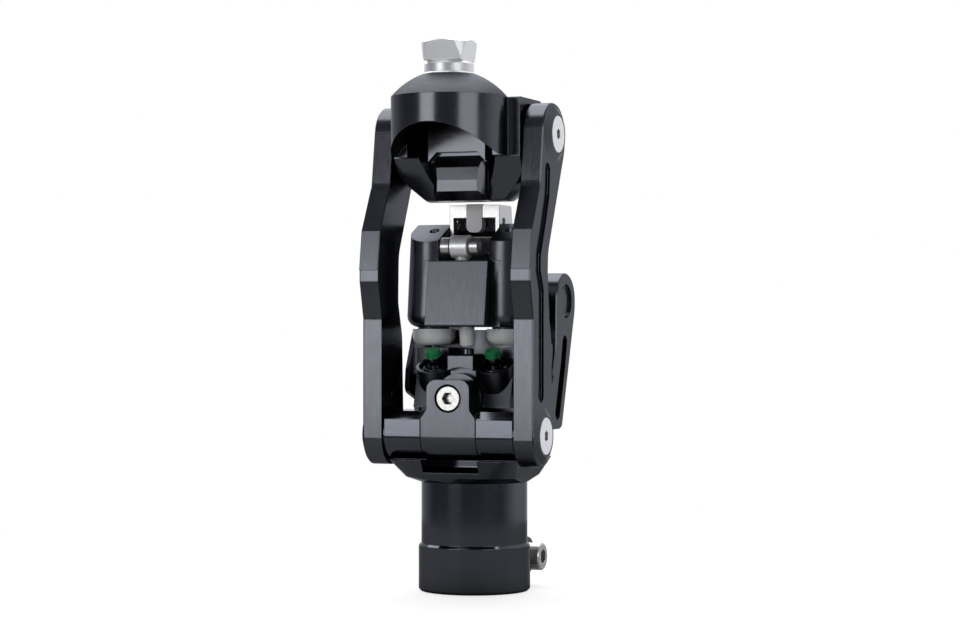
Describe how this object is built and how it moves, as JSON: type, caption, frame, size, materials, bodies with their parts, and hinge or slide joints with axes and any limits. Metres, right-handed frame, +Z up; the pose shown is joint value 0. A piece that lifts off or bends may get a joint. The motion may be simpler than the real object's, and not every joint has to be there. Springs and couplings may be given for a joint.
{
  "type": "prosthetic knee joint",
  "caption": "Single-axis prosthetic knee with two side plates, a weight-activated drum brake on a rear rocker, a shin tube clamp and a pyramid adapter.",
  "frame": {"origin": "on the shin tube's axis, at the bottom face of the tube clamp", "axes": "+Z up along the shin tube towards the thigh, -Y towards the front of the knee, +X to the wearer's left"},
  "size_m": [0.0666, 0.0836, 0.1937],
  "materials": {
    "black_anodised": "black anodised, satin gloss",
    "steel_fasteners": "bright machined",
    "steel_pins": "ground",
    "polished_steel": "polished",
    "green_elastomer": "smooth polyurethane",
    "white_nylon": "smooth nylon",
    "bush_steel": "plain"
  },
  "bodies": {
    "base": {"base_housing": "black_anodised", "bearing_cap": "black_anodised", "bearing_cap_screw": "steel_fasteners", "carrier_block": "black_anodised", "carrier_screws": "steel_fasteners", "plunger_striker": "black_anodised", "clamp_screw": "steel_fasteners", "clamp_nut": "steel_fasteners", "rocker_pin": "steel_pins", "pin_retaining_rings": "steel_pins", "lower_bush_left": "bush_steel", "lower_bush_right": "bush_steel", "bumper_post_left": "steel_pins", "bumper_post_right": "steel_pins", "stance_bumper_left": "green_elastomer", "stance_bumper_right": "green_elastomer", "rear_arm_left": "black_anodised", "rear_arm_right": "black_anodised", "rear_arm_screws_left": "steel_fasteners", "rear_arm_screws_right": "steel_fasteners"},
    "frame": {"side_plate_left": "black_anodised", "side_plate_right": "black_anodised", "lower_axle": "steel_pins", "lower_axle_screws": "steel_fasteners", "upper_axle": "steel_pins", "upper_axle_screws": "steel_fasteners"},
    "head": {"head_housing": "black_anodised", "pyramid": "polished_steel", "head_bush_left": "bush_steel", "head_bush_right": "bush_steel"},
    "rocker": {"rocker_block": "black_anodised", "rocker_foot_left": "white_nylon", "rocker_foot_right": "white_nylon", "foot_washers": "steel_fasteners", "foot_screws": "steel_fasteners", "lever_pin": "steel_pins", "rocker_bush_left": "bush_steel", "rocker_bush_right": "bush_steel"},
    "plunger": {"plunger_rod": "polished_steel", "plunger_tip": "white_nylon"},
    "lever": {"brake_lever": "polished_steel", "brake_shoe": "white_nylon", "plunger_eye_pin": "steel_pins"}
  },
  "joints": [
    {"name": "stance_flexion", "type": "hinge", "parent": "base", "child": "frame", "pos_m": [0, -0.0168, 0.0563], "axis": [-1, 0, 0], "range_deg": [0, 3], "stiffness_Nm_per_rad": 60},
    {"name": "knee_flexion", "type": "hinge", "parent": "frame", "child": "head", "pos_m": [0, -0.004, 0.162], "axis": [-1, 0, 0], "range_deg": [0, 130]},
    {"name": "rocker_pivot", "type": "hinge", "parent": "base", "child": "rocker", "pos_m": [0, 0.0286, 0.1035], "axis": [1, 0, 0], "range_deg": [0, 1.6]},
    {"name": "plunger_slide", "type": "slide", "parent": "rocker", "child": "plunger", "axis": [0, -0.1735, 0.9848], "range_m": [0, 0.0007]},
    {"name": "brake_lever_pivot", "type": "hinge", "parent": "rocker", "child": "lever", "pos_m": [0, 0.01005, 0.12649], "axis": [-1, 0, 0], "range_deg": [0, 1.75]}
  ],
  "couplings": [
    {"joint": "rocker_pivot", "follows": "stance_flexion", "ratio": 0.5},
    {"joint": "plunger_slide", "follows": "stance_flexion", "m_per_rad": 0.0128},
    {"joint": "brake_lever_pivot", "follows": "stance_flexion", "ratio": 0.5565}
  ]
}
